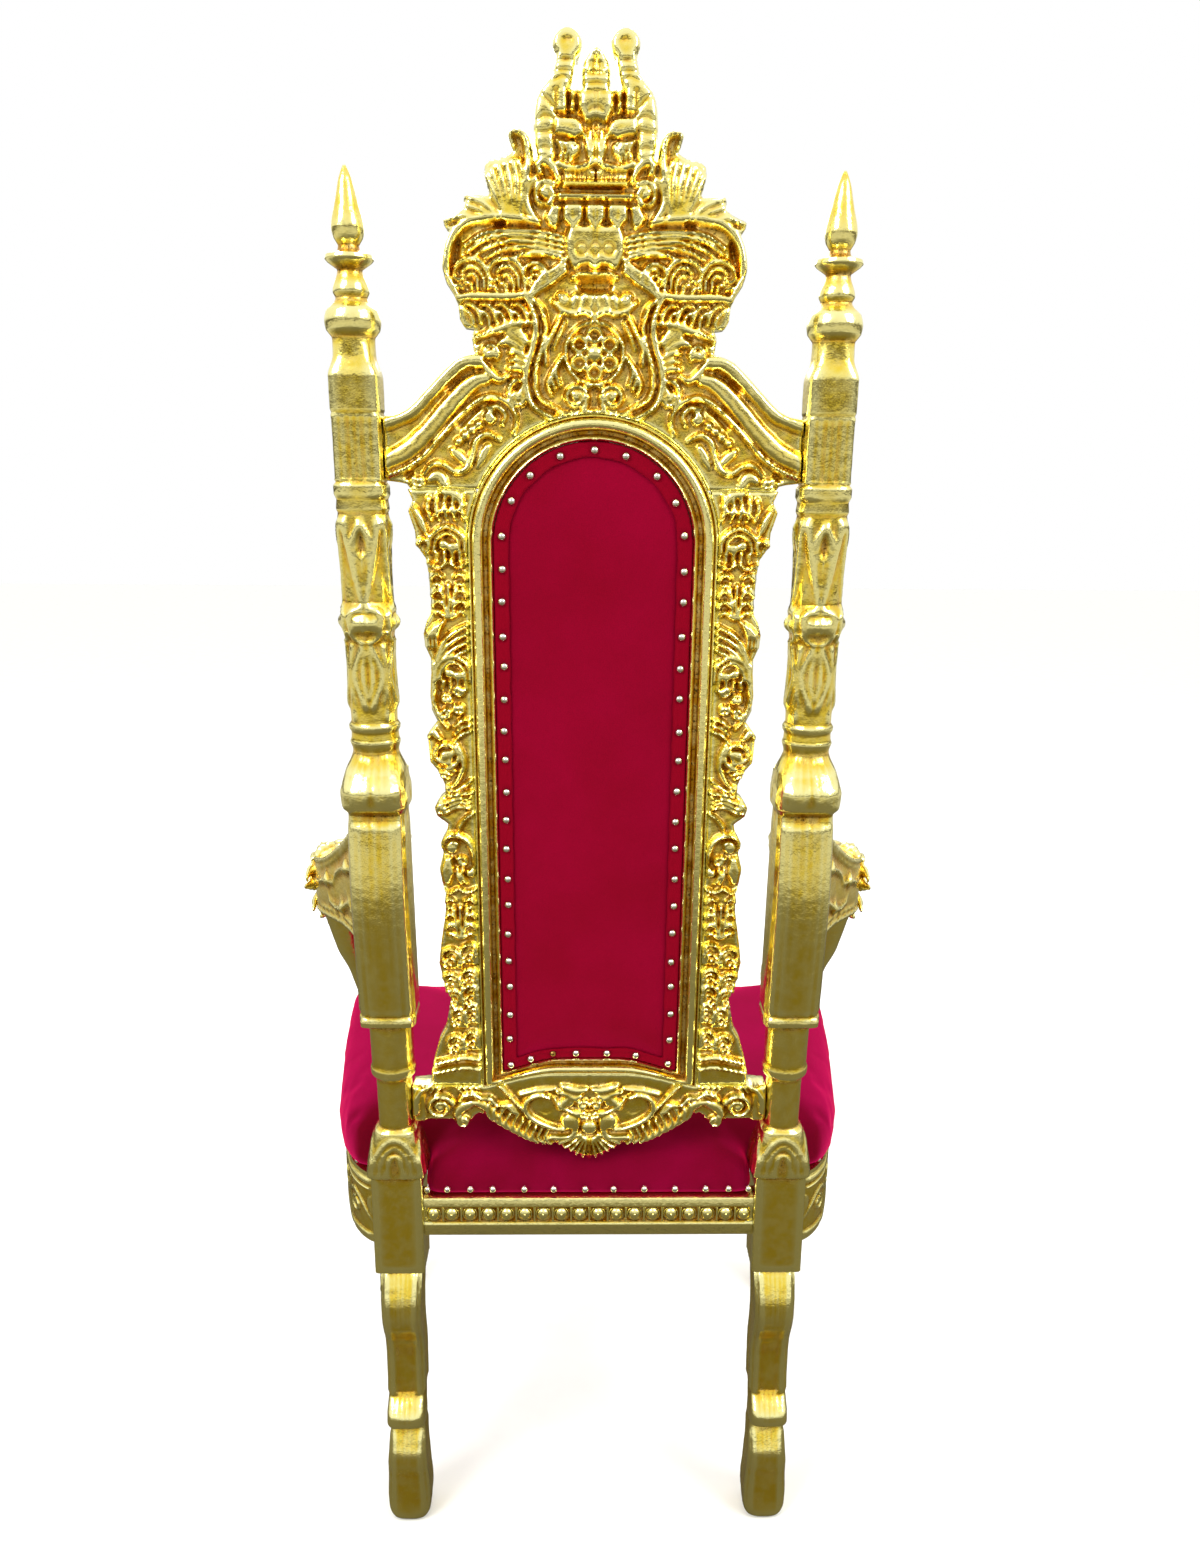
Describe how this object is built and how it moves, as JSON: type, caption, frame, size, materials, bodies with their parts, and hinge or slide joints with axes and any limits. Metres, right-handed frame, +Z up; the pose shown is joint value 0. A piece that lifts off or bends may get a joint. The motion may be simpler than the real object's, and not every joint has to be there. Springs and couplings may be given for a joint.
{
  "type": "armchair throne",
  "caption": "Tall gilded armchair throne with a carved crest, turned rear posts with finials, lion-headed arms, velvet seat and arched velvet back.",
  "frame": {"origin": "on the floor under the middle of the throne's bounding box", "axes": "+Z up, the sitter faces -Y, +X is the sitter's left"},
  "size_m": [0.858, 0.6152, 1.833],
  "materials": {
    "gilded_wood": "bright metal leaf on carved wood, glossy",
    "velvet": "crimson velvet pile",
    "velvet_band": "red velvet band with dome nails"
  },
  "bodies": {
    "root": {"rear_post_left": "gilded_wood", "rear_post_right": "gilded_wood", "crest_rail": "gilded_wood", "back_stile_left": "gilded_wood", "back_stile_right": "gilded_wood", "back_lower_rail": "gilded_wood", "panel_moulding": "gilded_wood", "arm_left": "gilded_wood", "arm_right": "gilded_wood", "seat_rail_rear": "gilded_wood", "seat_rail_left": "gilded_wood", "seat_rail_right": "gilded_wood", "seat_rail_front": "gilded_wood", "front_leg_left": "gilded_wood", "front_leg_right": "gilded_wood", "back_panel": "velvet", "inside_back_pad": "velvet", "seat_cushion": "velvet", "back_panel_band": "velvet_band"}
  },
  "joints": []
}
